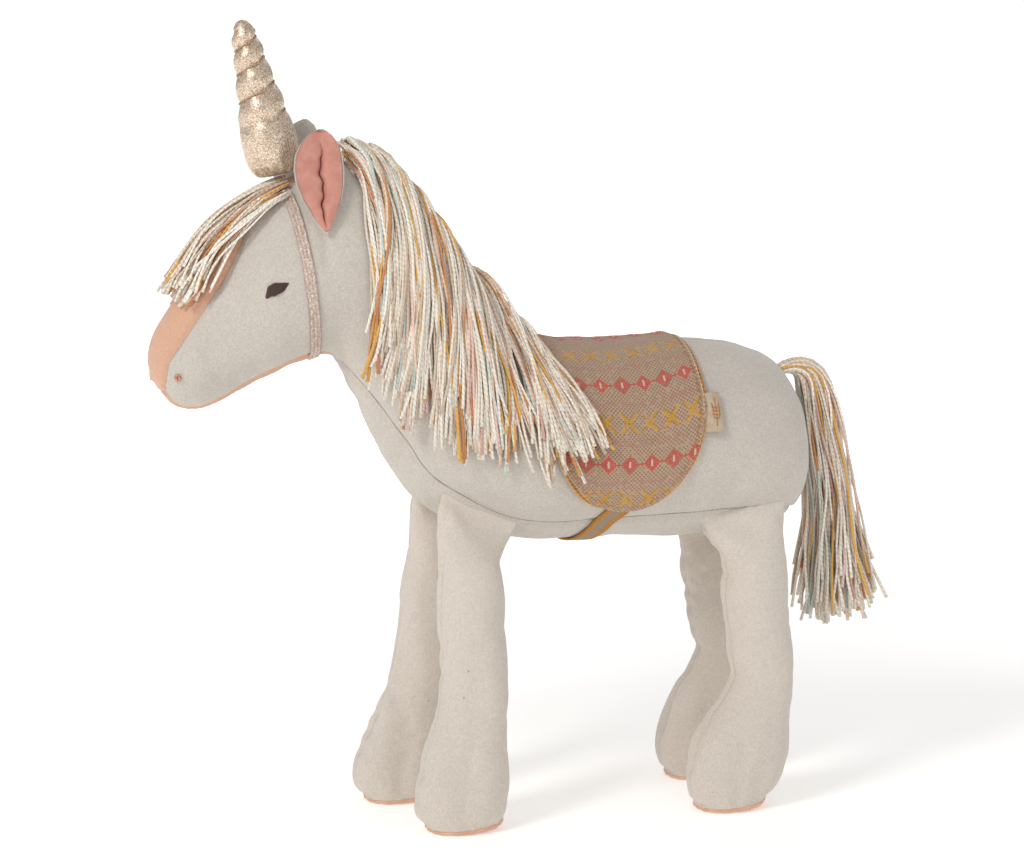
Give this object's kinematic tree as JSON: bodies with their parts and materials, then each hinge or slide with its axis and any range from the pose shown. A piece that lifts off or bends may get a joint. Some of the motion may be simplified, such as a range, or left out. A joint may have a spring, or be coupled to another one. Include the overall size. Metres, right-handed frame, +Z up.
{
  "type": "plush unicorn",
  "caption": "Sewn standing toy unicorn with stuffed limbs, loose yarn mane and tail, a knitted saddle on a girth strap, and a glitter horn worn on a chin elastic.",
  "frame": {"origin": "centre of the bounding box on the ground, under the belly", "axes": "+Z up, nose towards -X, the unicorn's left side towards -Y, right side towards +Y"},
  "size_m": [0.3746, 0.1208, 0.39],
  "materials": {
    "wool_felt": "brushed wool felt",
    "linen": "slubby linen and wool",
    "peach_cotton": "brushed cotton",
    "pink_cotton": "smooth cotton",
    "filling": "soft polyester filling",
    "gold_lame": "glittering lame",
    "glitter_elastic": "elastic with metal thread",
    "copper_thread": "twisted thread",
    "dark_thread": "satin stitch",
    "cotton_yarn": "loose cotton yarn",
    "cotton_tape": "plain weave",
    "knit_jacquard": "fine patterned knit",
    "ochre_braid": "braided cotton"
  },
  "bodies": {
    "trunk": {"side_panel_left": "wool_felt", "side_panel_right": "wool_felt", "chest_and_belly_gusset": "wool_felt", "blaze_gusset": "peach_cotton", "chin_gusset": "peach_cotton", "barrel_filling": "filling", "neck_filling": "filling", "head_filling": "filling", "eye_left": "dark_thread", "eye_right": "dark_thread", "nostril_knot_left": "copper_thread", "nostril_knot_right": "copper_thread", "mane_yarn_left": "cotton_yarn", "mane_yarn_right": "cotton_yarn", "mane_seam_tape": "cotton_tape", "forelock_yarn": "cotton_yarn", "saddle_knit_top": "knit_jacquard", "saddle_lining_top": "cotton_tape"},
    "saddle_flap_left": {"saddle_knit_flap_left": "knit_jacquard", "saddle_lining_flap_left": "cotton_tape", "saddle_piping_left": "ochre_braid", "girth_strap": "ochre_braid", "woven_label": "cotton_tape"},
    "saddle_flap_right": {"saddle_knit_flap_right": "knit_jacquard", "saddle_lining_flap_right": "cotton_tape", "saddle_piping_right": "ochre_braid"},
    "ear_left": {"ear_left_back": "wool_felt", "ear_left_lining": "pink_cotton"},
    "ear_right": {"ear_right_back": "wool_felt", "ear_right_lining": "pink_cotton"},
    "horn_headband": {"horn_cover": "gold_lame", "horn_filling": "filling", "horn_base_patch": "gold_lame", "horn_winding_thread": "copper_thread", "chin_elastic": "glitter_elastic"},
    "tail": {"tail_yarn": "cotton_yarn", "tail_root_binding": "cotton_yarn"},
    "leg_front_left": {"leg_front_left_outer_panel": "linen", "leg_front_left_inner_panel": "linen", "leg_front_left_filling": "filling", "leg_front_left_sole": "peach_cotton"},
    "leg_front_right": {"leg_front_right_outer_panel": "linen", "leg_front_right_inner_panel": "linen", "leg_front_right_filling": "filling", "leg_front_right_sole": "peach_cotton"},
    "leg_rear_left": {"leg_rear_left_outer_panel": "linen", "leg_rear_left_inner_panel": "linen", "leg_rear_left_filling": "filling", "leg_rear_left_sole": "peach_cotton"},
    "leg_rear_right": {"leg_rear_right_outer_panel": "linen", "leg_rear_right_inner_panel": "linen", "leg_rear_right_filling": "filling", "leg_rear_right_sole": "peach_cotton"}
  },
  "joints": [
    {"name": "leg_front_left_swing", "type": "hinge", "parent": "trunk", "child": "leg_front_left", "pos_m": [-0.0372, -0.032, 0.14], "axis": [0, 1, 0], "range_deg": [-15, 15], "stiffness_Nm_per_rad": 0.8},
    {"name": "leg_front_right_swing", "type": "hinge", "parent": "trunk", "child": "leg_front_right", "pos_m": [-0.0372, 0.032, 0.14], "axis": [0, 1, 0], "range_deg": [-15, 15], "stiffness_Nm_per_rad": 0.8},
    {"name": "leg_rear_left_swing", "type": "hinge", "parent": "trunk", "child": "leg_rear_left", "pos_m": [0.1093, -0.032, 0.14], "axis": [0, 1, 0], "range_deg": [-15, 15], "stiffness_Nm_per_rad": 0.8},
    {"name": "leg_rear_right_swing", "type": "hinge", "parent": "trunk", "child": "leg_rear_right", "pos_m": [0.1093, 0.032, 0.14], "axis": [0, 1, 0], "range_deg": [-15, 15], "stiffness_Nm_per_rad": 0.8},
    {"name": "tail_swing", "type": "hinge", "parent": "trunk", "child": "tail", "pos_m": [0.1423, 0, 0.2155], "axis": [0, -1, 0], "range_deg": [0, 60]},
    {"name": "ear_left_bend", "type": "hinge", "parent": "trunk", "child": "ear_left", "pos_m": [-0.1067, -0.0296, 0.2915], "axis": [1, 0, 0], "range_deg": [0, 35], "stiffness_Nm_per_rad": 0.02},
    {"name": "ear_right_bend", "type": "hinge", "parent": "trunk", "child": "ear_right", "pos_m": [-0.1067, 0.0296, 0.2915], "axis": [-1, 0, 0], "range_deg": [0, 35], "stiffness_Nm_per_rad": 0.02},
    {"name": "saddle_flap_left_lift", "type": "hinge", "parent": "trunk", "child": "saddle_flap_left", "pos_m": [0.0363, -0.0388, 0.22247], "axis": [-1, 0, 0], "range_deg": [0, 80], "deforming": ["mane_yarn_left"]},
    {"name": "saddle_flap_right_lift", "type": "hinge", "parent": "trunk", "child": "saddle_flap_right", "pos_m": [0.0363, 0.0388, 0.22247], "axis": [1, 0, 0], "range_deg": [0, 80], "deforming": ["mane_yarn_right"]},
    {"name": "headband_pull_off", "type": "slide", "parent": "trunk", "child": "horn_headband", "axis": [-0.8829, 0, -0.4695], "range_m": [0, 0.2], "deforming": ["forelock_yarn"]}
  ]
}
